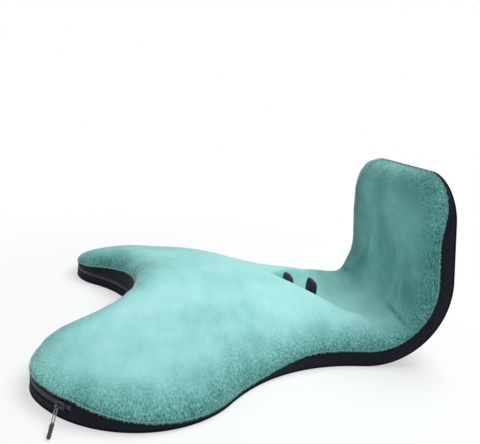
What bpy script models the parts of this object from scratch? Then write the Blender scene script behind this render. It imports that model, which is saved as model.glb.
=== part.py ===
"""Tablet cushion stand: a moulded foam body with two lobes round a belly notch, a hollow with
two stops, and a back that bends up from the base, in a sewn cover with a zip round the front.

The cushion is laid out flat first, as its cloth is cut: u runs from front to back, v across it
and h up through its thickness. The line u = 0 is where the bend starts. rolled() then turns
the rear of the flat form up into the back.
"""

import bpy
import bmesh
import numpy as np
from math import acos, atan2, ceil, cos, pi, radians, sin, sqrt
from mathutils import Matrix, Vector

# Plan of the flat form.
lobe_radius = 0.106
lobe_spread = 0.231  # between the centres of the two lobes
lobe_reach = 0.250  # from the bend line forward to the centres
notch_radius = 0.116
notch_lead = 0.009  # how far the notch stops ahead of the lobe centres
tip_radius = 0.053
waist_radius = 0.203
back_width = 0.218
back_corner_radius = 0.047

# The bend, measured on the rear face, and the straight back above it.
bend_radius = 0.089
lean_angle = radians(11)
back_straight = 0.115

# Foam thickness on the middle line at places along u: least in the crease of the bend.
crest_stations = ((-0.356, 0.044), (-0.290, 0.057), (-0.230, 0.063), (-0.150, 0.067),
                  (-0.090, 0.064), (-0.030, 0.060), (0.020, 0.051), (0.048, 0.040),
                  (0.070, 0.029), (0.090, 0.032), (0.125, 0.033), (0.266, 0.029))

# How fast it gets thinner to the sides there: this much times the square of v.
dome_stations = ((-0.356, 0.75), (-0.250, 0.80), (-0.150, 1.25), (-0.090, 2.30), (-0.030, 2.20),
                 (0.030, 1.00), (0.090, 0.30), (0.266, 0.30))
shoulder_width = 0.024

# Height of the seam between the plush and the side band.
notch_seam_height = 0.042
front_seam_height = 0.021
waist_seam_height = 0.006
back_seam_height = 0.019
top_seam_height = 0.006
notch_fall_length = 0.190  # along the edge, from the notch's middle to the front height
seam_fall_length = 0.125  # along the edge, from the zip's end
seam_rise_ahead = 0.147  # where it starts to rise again, ahead of the bend line
seam_rise_length = 0.090
top_fall_place = 0.195  # where it starts to fall to the top's height, behind the bend line
top_fall_length = 0.075

# The hollow in the middle.
hollow_ahead = 0.094  # its point, ahead of the bend line
hollow_length = 0.270
hollow_half_width = 0.087
hollow_steepness = 2.5
hollow_softness = 0.12  # how round its lip is
hollow_floor = 0.020  # foam left under its deepest part

# The two stops in the hollow.
stop_thickness = 0.0095
stop_length = 0.026
stop_dome = 0.0060
stop_front_ahead = 0.069
stop_rear_ahead = 0.036
stop_front_top = 0.0665
stop_rear_top = 0.0610

# Cloth.
cloth_gap = 0.0003
plush_thickness = 0.0022
band_thickness = 0.0022
base_cloth_thickness = 0.0015
tape_thickness = 0.0007
tape_width = 0.0110
tape_reveal = 0.0042  # bare tape on each side of the closed line

# Zip.
zip_half_length = 0.256  # from the notch's middle to either end
zip_height = 0.0132
tooth_pitch = 0.0050
tooth_reach = 0.0009
coil_width = 0.0026
coil_depth = 0.0016
running_gap = 0.0004
slider_setback = 0.010  # from the zip's near end
slider_length = 0.0110
slider_plate = 0.0012
slider_shoulder = 0.3  # where the plate starts to narrow, as a share of its half length
slider_taper = 0.72  # width of its narrow end, as a share of the full width
flange_thickness = 0.0007
bail_length = 0.0056
bail_rise = 0.0024
bail_bar = 0.0012
eye_wall = 0.0008
eye_play = 0.0007  # round the bail's bar, so that the pull can lean
pull_lean = radians(28)  # to the side, along the bar
pull_width = 0.0032
pull_slot = 0.0012
pull_plate = 0.0010
pull_loop_length = 0.0120
grip_length = 0.0130
grip_width = 0.0038
grip_depth = 0.0024
end_clamp_length = 0.0030

# Facets.
facet_turn = radians(12)
facet_length = 0.015
cell = 0.016
shoulder_steps = 5
bend_steps = 12
stop_steps = 8
eye_sides = 16
grip_sides = 12
zip_facet = 0.0050

# Places that follow from the sizes above.
half_back = back_width / 2
bend_angle = pi / 2 + lean_angle
bend_length = bend_radius * bend_angle
form_end = bend_length + back_straight
form_front = lobe_reach + lobe_radius
form_side = lobe_spread / 2 + lobe_radius
foam_base = base_cloth_thickness + cloth_gap
band_outer = cloth_gap + band_thickness
plush_outer = cloth_gap + plush_thickness
tape_outer = cloth_gap + tape_thickness
strip_inner = tape_outer + cloth_gap
coil_outer = strip_inner + coil_depth

notch_centre = Vector((-lobe_reach - notch_lead - notch_radius, 0))
lobe_centre = Vector((-lobe_reach, -lobe_spread / 2))


def meeting_point(centre_a, radius_a, centre_b, radius_b):
    """The nearer to the near side of the two points where two circles cross."""
    between = centre_b - centre_a
    distance = between.length
    along = (distance ** 2 + radius_a ** 2 - radius_b ** 2) / (2 * distance)
    across = sqrt(radius_a ** 2 - along ** 2)
    step = between.normalized()
    middle = centre_a + step * along
    offset = Vector((-step.y, step.x)) * across
    return min(middle + offset, middle - offset, key=lambda point: point.y)


def angle_of(vector):
    """Direction of a flat vector, from 0 to a full turn."""
    return atan2(vector.y, vector.x) % (2 * pi)


tip_centre = meeting_point(notch_centre, notch_radius + tip_radius,
                           lobe_centre, lobe_radius - tip_radius)
waist_drop = lobe_centre.y + half_back + waist_radius
waist_centre = Vector((lobe_centre.x + sqrt((lobe_radius + waist_radius) ** 2 - waist_drop ** 2),
                       -half_back - waist_radius))
corner_centre = Vector((form_end - back_corner_radius, back_corner_radius - half_back))

tip_start = angle_of(notch_centre - tip_centre)
tip_end = angle_of(tip_centre - lobe_centre)
lobe_end = angle_of(waist_centre - lobe_centre)
notch_end = angle_of(tip_centre - notch_centre) - 2 * pi
waist_start = angle_of(lobe_centre - waist_centre)

# The near half of the outline, from the notch's middle to the back's middle. An arc is its
# centre, radius and two angles; a straight run is its two ends.
side_stretch = 4  # the stretch below that runs up the side and round the bend
near_half = [
    ("arc", notch_centre, notch_radius, 0, notch_end),
    ("arc", tip_centre, tip_radius, tip_start, tip_end),
    ("arc", lobe_centre, lobe_radius, tip_end, lobe_end),
    ("arc", waist_centre, waist_radius, waist_start, pi / 2),
    ("line", Vector((waist_centre.x, -half_back)), Vector((corner_centre.x, -half_back))),
    ("arc", corner_centre, back_corner_radius, -pi / 2, 0),
    ("line", Vector((form_end, corner_centre.y)), Vector((form_end, 0))),
]


def stretch_length(stretch):
    """Length of one arc or straight run of the outline."""
    if stretch[0] == "line":
        return (stretch[2] - stretch[1]).length
    return abs(stretch[4] - stretch[3]) * stretch[2]


lengths = [stretch_length(stretch) for stretch in near_half]
starts = [sum(lengths[:index]) for index in range(len(lengths))]
half_length = sum(lengths)


def smooth(value):
    """Eases from 0 to 1, level at both ends."""
    value = np.clip(value, 0, 1)
    return value * value * (3 - 2 * value)


def seam_height(run, u):
    """Height of the plush seam: high in the notch, low at the waist, middling elsewhere."""
    if run <= zip_half_length:
        near = smooth(run / notch_fall_length)
        return notch_seam_height + (front_seam_height - notch_seam_height) * near
    fall = min((run - zip_half_length) / seam_fall_length, 1)
    rise = smooth((u + seam_rise_ahead) / seam_rise_length)
    low = waist_seam_height + (front_seam_height - waist_seam_height) * (1 - fall) ** 2
    top = smooth((u - top_fall_place) / top_fall_length)
    low += (back_seam_height - waist_seam_height) * rise
    return low + (top_seam_height - back_seam_height) * top


def edge_at(run):
    """Point, outward normal and seam height on the outline, at a distance from the notch."""
    run = run % (2 * half_length)
    side = 1 if run <= half_length else -1
    distance = min(run, 2 * half_length - run)
    index = max(i for i, start in enumerate(starts) if start <= distance + 1e-12)
    stretch = near_half[index]
    share = (distance - starts[index]) / lengths[index]
    if stretch[0] == "line":
        point = stretch[1].lerp(stretch[2], share)
        direction = (stretch[2] - stretch[1]).normalized()
        normal = Vector((direction.y, -direction.x))
    else:
        angle = stretch[3] + (stretch[4] - stretch[3]) * share
        normal = Vector((cos(angle), sin(angle)))
        point = stretch[1] + normal * stretch[2]
        if stretch[4] < stretch[3]:
            normal = -normal
    seam = seam_height(distance, point.x)
    return np.array([point.x, point.y * side, normal.x, normal.y * side, seam])


def edges_at(runs):
    """edge_at() for a list of distances, one row each."""
    return np.array([edge_at(run) for run in runs])


def outline_runs():
    """Distances of the outline's own corners, which the bend's cuts pass through."""
    runs = []
    for index, stretch in enumerate(near_half):
        if index == side_stretch:
            ahead = np.arange(stretch[1].x, 0, facet_length)
            cuts = [u for u in bend_cuts if stretch[1].x + cloth_gap < u < stretch[2].x]
            runs += [starts[index] + u - stretch[1].x for u in list(ahead) + cuts]
            continue
        steps = ceil(lengths[index] / facet_length)
        if stretch[0] == "arc":
            steps = max(steps, ceil(abs(stretch[4] - stretch[3]) / facet_turn))
        runs += [starts[index] + lengths[index] * step / steps for step in range(steps)]
    near = sorted(runs + [zip_half_length, half_length])
    return near + [2 * half_length - run for run in reversed(near[1:-1])]


back_steps = ceil(back_straight / cell)
bend_cuts = [bend_length * step / bend_steps for step in range(bend_steps + 1)]
bend_cuts += [bend_length + back_straight * step / back_steps for step in range(1, back_steps)]


def through_stations(stations, value):
    """A smooth curve through stations: cubic steps whose slopes follow the neighbours."""
    places, levels = np.array(stations).T
    slopes = np.gradient(levels, places)
    value = np.clip(value, places[0], places[-1])
    index = np.clip(np.searchsorted(places, value, side="right") - 1, 0, len(places) - 2)
    width = places[index + 1] - places[index]
    share = (value - places[index]) / width
    start = (1 + 2 * share) * (1 - share) ** 2 * levels[index]
    end = share ** 2 * (3 - 2 * share) * levels[index + 1]
    start_slope = share * (1 - share) ** 2 * slopes[index] * width
    end_slope = share ** 2 * (share - 1) * slopes[index + 1] * width
    return start + end + start_slope + end_slope


def foam_thickness(u, v):
    """Thickness of the foam: its crest, less the dome's fall, and pressed in at the hollow."""
    full = through_stations(crest_stations, u) - through_stations(dome_stations, u) * v ** 2
    share = np.clip((u + hollow_ahead) / hollow_length, 0, 1)
    reach = np.sin(pi * share)
    half_width = np.maximum(hollow_half_width * reach, 1e-6)
    inside = 1 - np.minimum(np.abs(v) / half_width, 9) ** hollow_steepness
    bowl = (inside + np.sqrt(inside ** 2 + hollow_softness ** 2)) / 2
    return full - (full - hollow_floor) * np.sqrt(reach) * np.minimum(bowl, 1)


def rolled(points):
    """Flat places (u, v, h) turned up round the bend, as places in the stand."""
    u, v, h = np.asarray(points, dtype=float).T
    turn = np.clip(u / bend_radius, 0, bend_angle)
    straight = u - turn * bend_radius
    x = (bend_radius - h) * np.sin(turn) + straight * np.cos(turn)
    z = bend_radius - (bend_radius - h) * np.cos(turn) + straight * np.sin(turn)
    return np.column_stack([x - middle_x, v, z])


# The stand's origin lies under the middle of its length.
middle_x = 0
front_x = min(edges_at(np.linspace(0, half_length, 400))[:, 0]) - band_outer
rear_x = max(rolled([(u, 0, 0) for u in np.linspace(0, form_end, 100)])[:, 0])
middle_x = (front_x + rear_x) / 2

for old in list(bpy.data.objects):
    bpy.data.objects.remove(old)


def material(name, colour, roughness, metallic=0.0):
    """A plain Principled material."""
    made = bpy.data.materials.new(name)
    made.use_nodes = True
    shader = made.node_tree.nodes["Principled BSDF"]
    shader.inputs["Base Color"].default_value = (*colour, 1)
    shader.inputs["Roughness"].default_value = roughness
    shader.inputs["Metallic"].default_value = metallic
    return made


plush_colour = (0.30, 0.62, 0.56)
navy_colour = (0.014, 0.016, 0.027)
stop_colour = (0.045, 0.040, 0.060)
foam_colour = (0.80, 0.78, 0.70)
metal_colour = (0.45, 0.50, 0.54)
black_colour = (0.01, 0.01, 0.012)


def finish(bm, name, colour, roughness, metallic=0.0, sharp=radians(40)):
    """Makes one closed object of a bmesh."""
    bmesh.ops.triangulate(bm, faces=bm.faces[:])
    bmesh.ops.recalc_face_normals(bm, faces=bm.faces[:])
    mesh = bpy.data.meshes.new(name)
    bm.to_mesh(mesh)
    bm.free()
    mesh.shade_smooth()
    mesh.set_sharp_from_angle(angle=sharp)
    made = bpy.data.objects.new(name, mesh)
    bpy.context.scene.collection.objects.link(made)
    mesh.materials.append(material(name, colour, roughness, metallic))
    return made


def ring(bm, edges, offset, height):
    """One closed ring of vertices round the outline, moved out by offset."""
    offset = np.broadcast_to(offset, len(edges))
    height = np.broadcast_to(height, len(edges))
    points = edges[:, :2] + edges[:, 2:4] * offset[:, None]
    return [bm.verts.new((*point, h)) for point, h in zip(points, height)]


def bridge(bm, ring_a, ring_b):
    """Joins two rings of the same count with quads."""
    count = len(ring_a)
    for index in range(count):
        after = (index + 1) % count
        bm.faces.new((ring_a[index], ring_a[after], ring_b[after], ring_b[index]))


def crown(bm, edges, layer, mark):
    """The shoulder and the marked top face of the cushion, a layer's depth outside the foam."""
    first = None
    for step in range(shoulder_steps + 1):
        angle = pi / 2 * step / shoulder_steps
        offset = -shoulder_width + (shoulder_width + layer) * cos(angle)
        places = edges[:, :2] + edges[:, 2:4] * offset
        full = foam_thickness(places[:, 0], places[:, 1])
        height = edges[:, 4] + (full - edges[:, 4] + layer) * sin(angle)
        current = ring(bm, edges, offset, height)
        if first is None:
            first = current
        else:
            bridge(bm, last, current)
        last = current
    top = bm.faces.new(last)
    top[bm.faces.layers.int["mark"]] = mark
    return first


def shape_flat_form(bm, layers):
    """Cuts the flat form for the bend and its top into cells, sets the top's height and rolls it."""
    marks = bm.faces.layers.int["mark"]

    def cut(faces, place, normal):
        edges = {edge for face in faces for edge in face.edges}
        verts = {vert for face in faces for vert in face.verts}
        bmesh.ops.bisect_plane(bm, geom=list(verts) + list(edges) + list(faces), dist=1e-5,
                               plane_co=place, plane_no=normal)

    for u in bend_cuts:
        cut(bm.faces[:], (u, 0, 0), (1, 0, 0))
    for index in range(1, ceil(form_front / cell)):
        cut([face for face in bm.faces if face[marks]], (-index * cell, 0, 0), (1, 0, 0))
    across = ceil(form_side / cell)
    for index in range(-across, across + 1):
        cut([face for face in bm.faces if face[marks]], (0, index * cell, 0), (0, 1, 0))
    for mark, layer in layers.items():
        tops = {vert for face in bm.faces if face[marks] == mark for vert in face.verts}
        for vert in tops:
            vert.co.z = float(foam_thickness(vert.co.x, vert.co.y)) + layer
    roll_vertices(bm)


def roll_vertices(bm):
    """Moves a bmesh from its flat place to its place in the stand."""
    places = rolled([vert.co for vert in bm.verts])
    for vert, place in zip(bm.verts, places):
        vert.co = place


def flat_bmesh():
    """An empty bmesh whose faces can carry a mark."""
    bm = bmesh.new()
    bm.faces.layers.int.new("mark")
    return bm


outline = edges_at(outline_runs())


def solid_form(name, layer, base, colour):
    """The whole cushion as one solid, grown by a layer."""
    bm = flat_bmesh()
    foot = ring(bm, outline, layer, base)
    bm.faces.new(foot)
    bridge(bm, foot, crown(bm, outline, layer, 1))
    shape_flat_form(bm, {1: layer})
    return finish(bm, name, colour, 0.9)


solid_form("foam_core", 0, foam_base, foam_colour)


def top_cover():
    """The plush: a skin over the crown, open below, whose rim stands on the side band."""
    bm = flat_bmesh()
    outer = crown(bm, outline, plush_outer, 1)
    inner = crown(bm, outline, cloth_gap, 2)
    bridge(bm, outer, inner)
    shape_flat_form(bm, {1: plush_outer, 2: cloth_gap})
    return finish(bm, "top_cover", plush_colour, 0.95)


top_cover()


def bottom_cover():
    """The cloth of the underside and of the rear of the back."""
    bm = flat_bmesh()
    lower = ring(bm, outline, band_outer, 0)
    upper = ring(bm, outline, band_outer, base_cloth_thickness)
    bm.faces.new(lower)
    bm.faces.new(upper)
    bridge(bm, lower, upper)
    shape_flat_form(bm, {})
    return finish(bm, "bottom_cover", navy_colour, 0.85)


bottom_cover()


def strip(name, runs, corners, colour, roughness, metallic=0.0):
    """A strip along the outline; corners(edge) gives its section as (offset, height) pairs."""
    bm = bmesh.new()
    last = None
    for edge in edges_at(runs):
        section = []
        for offset, height in corners(edge):
            place = edge[:2] + edge[2:4] * offset
            section.append(bm.verts.new((*place, height)))
        if last is None:
            bm.faces.new(section)
        else:
            bridge(bm, last, section)
        last = section
    bm.faces.new(last)
    roll_vertices(bm)
    return finish(bm, name, colour, roughness, metallic)


def box_section(inner, outer, low, high):
    """A rectangular section."""
    return [(inner, low), (outer, low), (outer, high), (inner, high)]


# The side band: one strip round the rear, from one end of the zip to the other.
band_start = zip_half_length + cloth_gap
rear_runs = [run for run in outline_runs() if band_start < run < 2 * half_length - band_start]
strip("rear_gusset", [band_start] + rear_runs + [2 * half_length - band_start],
      lambda edge: box_section(cloth_gap, band_outer, foam_base, edge[4] - cloth_gap),
      navy_colour, 0.85)

# Round the front it is two narrow strips, with the zip's tapes behind them.
zip_steps = ceil(2 * zip_half_length / zip_facet)
zip_runs = np.linspace(-zip_half_length, zip_half_length, zip_steps + 1)
strip("front_gusset_upper", zip_runs,
      lambda edge: box_section(strip_inner, band_outer, zip_height + tape_reveal,
                               edge[4] - cloth_gap),
      navy_colour, 0.85)
strip("front_gusset_lower", zip_runs,
      lambda edge: box_section(strip_inner, band_outer, foam_base, zip_height - tape_reveal),
      navy_colour, 0.85)
strip("zip_tape_upper", zip_runs,
      lambda edge: box_section(cloth_gap, tape_outer, zip_height + cloth_gap / 2,
                               min(zip_height + tape_width, edge[4] - cloth_gap)),
      navy_colour, 0.8)
strip("zip_tape_lower", zip_runs,
      lambda edge: box_section(cloth_gap, tape_outer, zip_height - tape_width,
                               zip_height - cloth_gap / 2),
      navy_colour, 0.8)

# Two combs of teeth that mesh along the closed line, from clamp to clamp.
comb_half = zip_half_length - end_clamp_length - cloth_gap
tooth_count = ceil(2 * comb_half / tooth_pitch)


def comb(name, side):
    """One row of teeth: its inner edge runs in and out between the teeth of the other row."""
    bm = bmesh.new()
    last = None
    for index, run in enumerate(np.linspace(-comb_half, comb_half, 2 * tooth_count + 1)):
        edge = edge_at(run)
        wave = tooth_reach if index % 2 else -tooth_reach
        inner = zip_height + wave + side * running_gap / 2
        outer = zip_height + side * coil_width
        section = []
        for offset, height in box_section(strip_inner, coil_outer, inner, outer):
            place = edge[:2] + edge[2:4] * offset
            section.append(bm.verts.new((*place, height)))
        if last is None:
            bm.faces.new(section)
        else:
            bridge(bm, last, section)
        last = section
    bm.faces.new(last)
    roll_vertices(bm)
    return finish(bm, name, black_colour, 0.45)


comb("zip_coil_upper", 1)
comb("zip_coil_lower", -1)

# A clamp across both tapes ends the zip on each side.
for name, side in (("zip_end_near", 1), ("zip_end_far", -1)):
    clamp_runs = [side * (zip_half_length - end_clamp_length), side * zip_half_length]
    strip(name, clamp_runs,
          lambda edge: box_section(strip_inner, coil_outer, zip_height - coil_width,
                                   zip_height + coil_width),
          metal_colour, 0.35, 1.0)


def place_on_edge(run, height):
    """Matrix of a place on the outline: X along it towards the notch, Y outward, Z up."""
    edge = edge_at(run)
    outward = Vector((edge[2], edge[3], 0))
    along = Vector((edge[3], -edge[2], 0))
    up = Vector((0, 0, 1))
    turn = Matrix((along, outward, up)).transposed()
    spot = Vector(rolled([(edge[0], edge[1], height)])[0])
    return Matrix.Translation(spot) @ turn.to_4x4()


slider_place = place_on_edge(zip_half_length - slider_setback, zip_height)


def block(bm, low, high):
    """A box between two corners."""
    size = Vector(high) - Vector(low)
    middle = (Vector(high) + Vector(low)) / 2
    matrix = Matrix.Translation(middle) @ Matrix.Diagonal((*size, 1))
    return bmesh.ops.create_cube(bm, size=1, matrix=matrix)["verts"]


def extrude_outline(bm, points, axis, start, end):
    """A prism of a closed outline, carried along one axis; the two places are the other axes."""
    def vertex(point, place):
        corner = list(point)
        corner.insert(axis, place)
        return bm.verts.new(corner)

    low = [vertex(point, start) for point in points]
    high = [vertex(point, end) for point in points]
    bm.faces.new(low)
    bm.faces.new(high)
    bridge(bm, low, high)


def joined(target, tools):
    """Adds closed objects to a target with unions and drops them."""
    for tool in tools:
        union = target.modifiers.new("join", "BOOLEAN")
        union.operation = "UNION"
        union.solver = "EXACT"
        union.object = tool
        tool.hide_render = True
        tool.display_type = "WIRE"


slider_inner = coil_outer + running_gap
slider_outer = slider_inner + slider_plate
flange_inner = coil_width + cloth_gap
flange_outer = flange_inner + flange_thickness
flange_foot = strip_inner + running_gap
bar_middle = slider_outer + bail_rise


def zip_slider():
    """The slider: a shield-shaped plate with turned-in flanges and a bail on top."""
    bm = bmesh.new()
    half = slider_length / 2
    narrow = flange_outer * slider_taper
    shoulder = half * slider_shoulder
    shield = [(-half, -flange_outer), (shoulder, -flange_outer), (half, -narrow),
              (half, narrow), (shoulder, flange_outer), (-half, flange_outer)]
    extrude_outline(bm, shield, 1, slider_inner, slider_outer)
    body = finish(bm, "zip_slider", metal_colour, 0.3, 1.0)
    tools = []
    for side in (-1, 1):
        flange = bmesh.new()
        block(flange, (-half, flange_foot, min(side * flange_inner, side * flange_outer)),
              (shoulder, slider_outer, max(side * flange_inner, side * flange_outer)))
        tools.append(finish(flange, "cutter_flange", metal_colour, 0.3))
    bail = bmesh.new()
    outer = bail_length / 2 + bail_bar
    rise = bar_middle + bail_bar / 2
    opening = bar_middle - bail_bar / 2
    arch = [(-outer, slider_inner + slider_plate / 2), (-outer, rise - bail_bar / 2),
            (-outer + bail_bar / 2, rise), (outer - bail_bar / 2, rise),
            (outer, rise - bail_bar / 2), (outer, slider_inner + slider_plate / 2),
            (bail_length / 2, slider_inner + slider_plate / 2), (bail_length / 2, opening),
            (-bail_length / 2, opening), (-bail_length / 2, slider_inner + slider_plate / 2)]
    extrude_outline(bail, arch, 2, -bail_bar / 2, bail_bar / 2)
    tools.append(finish(bail, "cutter_bail", metal_colour, 0.3))
    for piece in [body] + tools:
        piece.matrix_world = slider_place
    joined(body, tools)
    return body


zip_slider()

# The pull hangs on the bail's bar, leans to the side and swings out until its end is just clear
# of the ground.
eye_inner = bail_bar / 2 * sqrt(2) + eye_play
eye_outer = eye_inner + eye_wall
pull_length = eye_outer + pull_loop_length + grip_length
end_height = grip_depth / 2 + cloth_gap
pull_reach = (pull_length - grip_depth / 2) * cos(pull_lean)
pull_droop = acos((zip_height - end_height) / pull_reach)
hinge = slider_place @ Matrix.Translation((0, bar_middle, 0))
pull_place = hinge @ Matrix.Rotation(pull_droop, 4, "X") @ Matrix.Rotation(pull_lean, 4, "Y")


def zip_pull_loop():
    """The pull's metal: an eye round the bar, and two parallel arms below it."""
    bm = bmesh.new()
    half = pull_width / 2
    slot = pull_slot / 2
    foot = -eye_outer - pull_loop_length
    neck = -eye_inner - eye_wall / 2
    frame = [(-half, neck), (-half, foot), (half, foot), (half, neck)]
    extrude_outline(bm, frame, 1, -pull_plate / 2, pull_plate / 2)
    body = finish(bm, "zip_pull_loop", metal_colour, 0.35, 1.0)

    hole = bmesh.new()
    block(hole, (-slot, -pull_plate, foot + pull_slot), (slot, pull_plate, neck - 2 * eye_wall))
    opening = finish(hole, "cutter_slot", metal_colour, 0.3)

    eye = bmesh.new()
    loops = []
    for radius, side in ((eye_inner, -1), (eye_outer, -1), (eye_outer, 1), (eye_inner, 1)):
        turns = [2 * pi * turn / eye_sides for turn in range(eye_sides)]
        loops.append([eye.verts.new((side * eye_wall / 2, radius * cos(turn), radius * sin(turn)))
                      for turn in turns])
    for index in range(4):
        bridge(eye, loops[index], loops[(index + 1) % 4])
    ring_piece = finish(eye, "cutter_eye", metal_colour, 0.3)

    for piece in (body, opening, ring_piece):
        piece.matrix_world = pull_place
    cut = body.modifiers.new("slot", "BOOLEAN")
    cut.operation = "DIFFERENCE"
    cut.solver = "EXACT"
    cut.object = opening
    opening.hide_render = True
    opening.display_type = "WIRE"
    joined(body, [ring_piece])
    return body


zip_pull_loop()


def zip_pull_grip():
    """The black end of the pull: a slim tapered stick with a rounded end."""
    bm = bmesh.new()
    start = -eye_outer - pull_loop_length - cloth_gap
    shares = ((0, 0.80), (0.08, 1.0), (0.55, 0.86), (0.86, 0.92), (0.95, 0.72), (1.0, 0.34))
    last = None
    for share, size in shares:
        loop = []
        for turn in range(grip_sides):
            angle = 2 * pi * turn / grip_sides
            loop.append(bm.verts.new((grip_width / 2 * size * cos(angle),
                                      grip_depth / 2 * size * sin(angle),
                                      start - grip_length * share)))
        if last is None:
            bm.faces.new(loop)
        else:
            bridge(bm, last, loop)
        last = loop
    bm.faces.new(last)
    body = finish(bm, "zip_pull_grip", black_colour, 0.5)
    body.matrix_world = pull_place
    return body


zip_pull_grip()

# The stops are cut to the hollow's surface by a copy of the cushion, grown past the plush.
seat = solid_form("cutter_seat", plush_outer + cloth_gap, 0, plush_colour)
seat.hide_render = True
seat.display_type = "WIRE"


def stop(name, ahead, top):
    """A rounded block across the hollow, seated on the plush."""
    bm = bmesh.new()
    half = stop_thickness / 2
    profile = [(-half, hollow_floor), (half, hollow_floor)]
    for step in range(stop_steps + 1):
        angle = pi * step / stop_steps
        profile.append((half * cos(angle), top - stop_dome * (1 - sin(angle))))
    extrude_outline(bm, profile, 1, -stop_length / 2, stop_length / 2)
    body = finish(bm, name, stop_colour, 0.8)
    body.location = (-ahead - middle_x, 0, 0)
    cut = body.modifiers.new("seat", "BOOLEAN")
    cut.operation = "DIFFERENCE"
    cut.solver = "EXACT"
    cut.object = seat
    return body


stop("stop_front", stop_front_ahead, stop_front_top)
stop("stop_rear", stop_rear_ahead, stop_rear_top)
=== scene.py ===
"""Tablet cushion stand: the sewn cover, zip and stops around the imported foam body."""

from math import acos, atan2, cos, pi, radians, sin, sqrt

import bpy
import numpy as np
from mathutils import Matrix, Vector


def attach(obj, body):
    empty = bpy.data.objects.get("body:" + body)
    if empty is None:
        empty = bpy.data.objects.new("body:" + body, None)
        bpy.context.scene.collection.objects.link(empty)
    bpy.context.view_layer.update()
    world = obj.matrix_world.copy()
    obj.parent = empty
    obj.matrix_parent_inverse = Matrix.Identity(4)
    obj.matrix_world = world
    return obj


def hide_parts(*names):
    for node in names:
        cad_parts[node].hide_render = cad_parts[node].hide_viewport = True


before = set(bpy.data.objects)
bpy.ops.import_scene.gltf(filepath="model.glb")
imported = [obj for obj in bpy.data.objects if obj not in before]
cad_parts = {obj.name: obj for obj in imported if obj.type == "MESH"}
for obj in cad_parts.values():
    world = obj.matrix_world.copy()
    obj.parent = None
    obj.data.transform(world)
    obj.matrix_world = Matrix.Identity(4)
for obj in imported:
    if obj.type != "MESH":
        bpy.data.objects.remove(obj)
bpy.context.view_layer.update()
scene = bpy.context.scene
scene.view_settings.view_transform = "Standard"

# The camera. It stands low at the near front corner and is rolled a little, as the
# picture was laid out: the far lobe sits high on the left and the back leans up right.
picture_width = 480
yaw = radians(11.39)
pitch = radians(12.96)
roll = radians(6.97)
focal_pixels = 489.28
camera_place = (-0.12787, -0.57656, 0.26539)
ahead = np.array([sin(yaw) * cos(pitch), cos(yaw) * cos(pitch), -sin(pitch)])
right = np.array([cos(yaw), -sin(yaw), 0.0])
down = np.cross(ahead, right)
camera_data = bpy.data.cameras.new("camera")
camera_data.sensor_width = 36.0
camera_data.lens = 36.0 * focal_pixels / picture_width
camera_data.clip_start = 0.01
camera = bpy.data.objects.new("camera", camera_data)
turned = np.column_stack([cos(roll) * right - sin(roll) * down,
                          -sin(roll) * right - cos(roll) * down, -ahead])
camera.matrix_world = Matrix.Translation(camera_place) @ Matrix(turned.tolist()).to_4x4()
scene.collection.objects.link(camera)
scene.camera = camera


class Value:
    """A node's output. Sums, differences, products and powers of values add Math nodes."""

    def __init__(self, finish, socket):
        self.finish = finish
        self.socket = socket

    def maths(self, operation, *terms):
        return self.finish.node("ShaderNodeMath", {"operation": operation}, list(terms))

    def __add__(self, other):
        return self.maths("ADD", self, other)

    __radd__ = __add__

    def __sub__(self, other):
        return self.maths("SUBTRACT", self, other)

    def __rsub__(self, other):
        return self.maths("SUBTRACT", other, self)

    def __mul__(self, other):
        return self.maths("MULTIPLY", self, other)

    __rmul__ = __mul__

    def __pow__(self, other):
        return self.maths("POWER", self, other)


class Finish:
    """A material. node() adds any node to it; the shader is its Principled BSDF."""

    def __init__(self, name, **constants):
        self.material = bpy.data.materials.new(name)
        self.material.use_nodes = True
        self.nodes = self.material.node_tree.nodes
        self.links = self.material.node_tree.links
        self.shader = self.nodes["Principled BSDF"]
        for socket, value in constants.items():
            self.shader.inputs[socket.replace("_", " ")].default_value = value

    def node(self, kind, settings, inputs=(), output=0):
        made = self.nodes.new(kind)
        for name, value in settings.items():
            if name == "stops":
                ramp = made.color_ramp
                while len(ramp.elements) < len(value):
                    ramp.elements.new(1.0)
                for element, (place, colour) in zip(ramp.elements, value):
                    element.position = place
                    element.color = (*colour, 1.0)
            else:
                setattr(made, name, value)
        if not isinstance(inputs, dict):
            inputs = dict(enumerate(inputs))
        for socket, value in inputs.items():
            self.feed(made.inputs[socket], value)
        return Value(self, made.outputs[output])

    def feed(self, socket, value):
        if isinstance(value, Value):
            self.links.new(value.socket, socket)
        else:
            socket.default_value = value

    def give(self, socket, value):
        self.feed(self.shader.inputs[socket], value)

    def blend(self, factor, first, second):
        """One colour over another by a factor."""
        return self.node("ShaderNodeMix", {"data_type": "RGBA"},
                         {0: factor, 6: first, 7: second}, output=2)

    def noise(self, place, scale, detail=2.0, roughness=0.5, stretch=None):
        """A noise from 0 to 1 at a place, its grains 1/scale metres wide."""
        if stretch is not None:
            place = self.node("ShaderNodeMapping", {}, {"Vector": place, "Scale": stretch})
        return self.node("ShaderNodeTexNoise", {}, {"Vector": place, "Scale": scale,
                                                    "Detail": detail, "Roughness": roughness})

    def place(self, output="Object"):
        return self.node("ShaderNodeTexCoord", {}, output=output)

    def bump(self, height, strength, distance):
        self.give("Normal", self.node("ShaderNodeBump", {}, {"Strength": strength,
                                                             "Distance": distance,
                                                             "Height": height}))


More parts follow.
